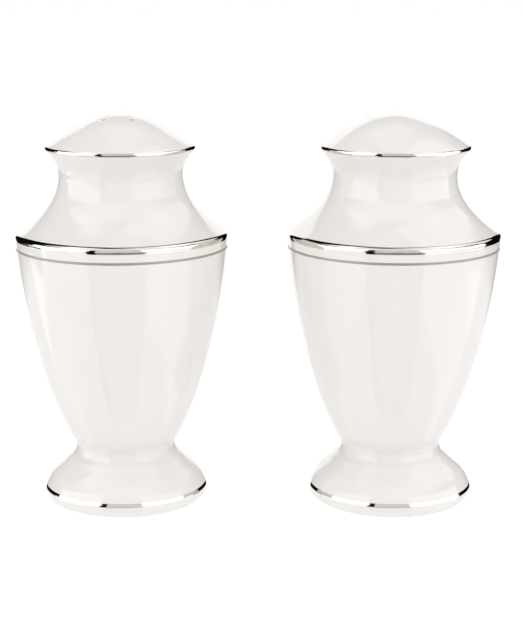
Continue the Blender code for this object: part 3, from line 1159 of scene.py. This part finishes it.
class SHAKERS_OT_china(bpy.types.Operator):
    """Make both shakers' china bodies with their pour holes"""

    bl_idname = "shakers.china"
    bl_label = "China bodies"

    def execute(self, context):
        shape = context.scene.shaker_shape
        look = context.scene.shaker_china
        material = glazed_china(shape, look)
        section = hole_cutter_section(shape, look)
        cutter = baked("pour_hole_cutter", section, cutter_tree(), {"Turns": CUTTER_TURNS})
        tree = china_tree()
        ring_holes = {"salt": look.salt_holes, "pepper": look.pepper_holes}
        for name in NAMES:
            remake(name + "_china")
            values = {
                "Turns": shape.turns,
                "Ring Holes": ring_holes[name],
                "Ring Radius": look.ring_radius,
                "Height": shape.height,
                "Cutter": cutter,
                "Centre": centre_of(name),
                "Material": material,
            }
            piece = baked(name + "_china", china_section(shape), tree, values)
            belongs(piece, name + "_shaker", "glazed_china", name + "_body")
        bpy.data.objects.remove(cutter, do_unlink=True)
        return {"FINISHED"}


class SHAKERS_OT_lines(bpy.types.Operator):
    """Lay the platinum lines on both shakers"""

    bl_idname = "shakers.lines"
    bl_label = "Platinum lines"

    def execute(self, context):
        shape = context.scene.shaker_shape
        look = context.scene.shaker_lines
        bright = fired_platinum(
            look, "bright platinum", look.metal_colour, look.metal_roughness, 1.0
        )
        thin = fired_platinum(
            look, "thin platinum", look.hairline_colour, look.hairline_roughness, look.hairline_metal
        )
        tree = line_tree()
        outline = outer_side(shape)
        cap, _, shoulder = edge_heights(shape)
        stretches = [(cap, CAP_LINES), (shoulder, SHOULDER_LINES), (FOOT_EDGE_HEIGHT, FOOT_LINES)]
        seed = 0
        for name in NAMES:
            for edge, lines in stretches:
                for line in lines:
                    seed += 1
                    remake(f"{name}_{line.piece}")
                    values = {
                        "Turns": shape.turns,
                        "Rows": look.rows,
                        "From": length_to(outline, edge + line.rise),
                        "To": length_to(outline, edge + line.rise - line.width),
                        "Film": look.film,
                        "Root": look.root,
                        "Wander": look.wander,
                        "Seed": float(2 * seed),
                        "Centre": centre_of(name),
                        "Material": thin if line.piece == "hairline" else bright,
                    }
                    piece = baked(f"{name}_{line.piece}", outline, tree, values)
                    belongs(piece, name + "_shaker", "fired_platinum", f"{name}_{line.node}")
        return {"FINISHED"}


def length_to(outline, height):
    """The length along a downward outline to this height."""
    length = 0
    for a, b in zip(outline, outline[1:]):
        if a.y > height >= b.y:
            return length + (b - a).length * (a.y - height) / (a.y - b.y)
        length += (b - a).length
    raise ValueError(f"the outline doesn't reach down to {height}")


class SHAKERS_OT_stoppers(bpy.types.Operator):
    """Make the soft stoppers that close both shakers from below"""

    bl_idname = "shakers.stoppers"
    bl_label = "Soft stoppers"

    def execute(self, context):
        shape = context.scene.shaker_shape
        look = context.scene.shaker_stoppers
        material = soft_rubber(look)
        tree = stopper_tree()
        hollow = shape.fill_radius - FIT_GAP - STOPPER_WALL
        flange_bottom = FLOOR_HEIGHT - FIT_GAP - FLANGE_THICKNESS
        for name in NAMES:
            remake(name + "_soft_stopper")
            values = {
                "Turns": shape.turns,
                "Grip Length": 2 * hollow + STOPPER_WALL / 2,
                "Grip Width": GRIP_WIDTH,
                "Grip Height": GRIP_HEIGHT,
                "Grip Middle": flange_bottom + GRIP_SETBACK + GRIP_HEIGHT / 2,
                "Grip Round": look.grip_round,
                "Centre": centre_of(name),
                "Material": material,
            }
            piece = baked(name + "_soft_stopper", stopper_section(shape), tree, values)
            belongs(piece, name + "_stopper", "soft_stopper", name + "_stopper")
        return {"FINISHED"}


class SHAKERS_OT_studio(bpy.types.Operator):
    """Set the pale floor, the soft light and the camera"""

    bl_idname = "shakers.studio"
    bl_label = "Studio"

    def execute(self, context):
        look = context.scene.shaker_studio
        remake("floor")
        remake("camera")
        pale_floor(look)
        studio_world(look)
        camera(look)
        context.scene.view_settings.view_transform = "Standard"
        return {"FINISHED"}


class SHAKERS_PT_panel(bpy.types.Panel):
    bl_label = "Salt and pepper shakers"
    bl_idname = "SHAKERS_PT_panel"
    bl_space_type = "VIEW_3D"
    bl_region_type = "UI"
    bl_category = "Shakers"

    def draw(self, context):
        for label, group in GROUPS.items():
            box = self.layout.box()
            settings = getattr(context.scene, label)
            for name in settings.bl_rna.properties.keys():
                if name not in ("rna_type", "name"):
                    box.prop(settings, name)
            if group.operator:
                box.operator(group.operator)


Group = namedtuple("Group", "settings operator")
GROUPS = {
    "shaker_shape": Group(ShakerShape, None),
    "shaker_china": Group(ChinaLook, "shakers.china"),
    "shaker_lines": Group(LineLook, "shakers.lines"),
    "shaker_stoppers": Group(StopperLook, "shakers.stoppers"),
    "shaker_studio": Group(StudioLook, "shakers.studio"),
}
OPERATORS = (SHAKERS_OT_china, SHAKERS_OT_lines, SHAKERS_OT_stoppers, SHAKERS_OT_studio)


def register():
    for label, group in GROUPS.items():
        bpy.utils.register_class(group.settings)
        setattr(bpy.types.Scene, label, PointerProperty(type=group.settings))
    for operator in OPERATORS:
        bpy.utils.register_class(operator)
    bpy.utils.register_class(SHAKERS_PT_panel)


def unregister():
    bpy.utils.unregister_class(SHAKERS_PT_panel)
    for operator in reversed(OPERATORS):
        bpy.utils.unregister_class(operator)
    for label, group in reversed(list(GROUPS.items())):
        delattr(bpy.types.Scene, label)
        bpy.utils.unregister_class(group.settings)


def main():
    register()
    bpy.ops.shakers.china()
    bpy.ops.shakers.lines()
    bpy.ops.shakers.stoppers()
    bpy.ops.shakers.studio()


if __name__ == "__main__":
    main()
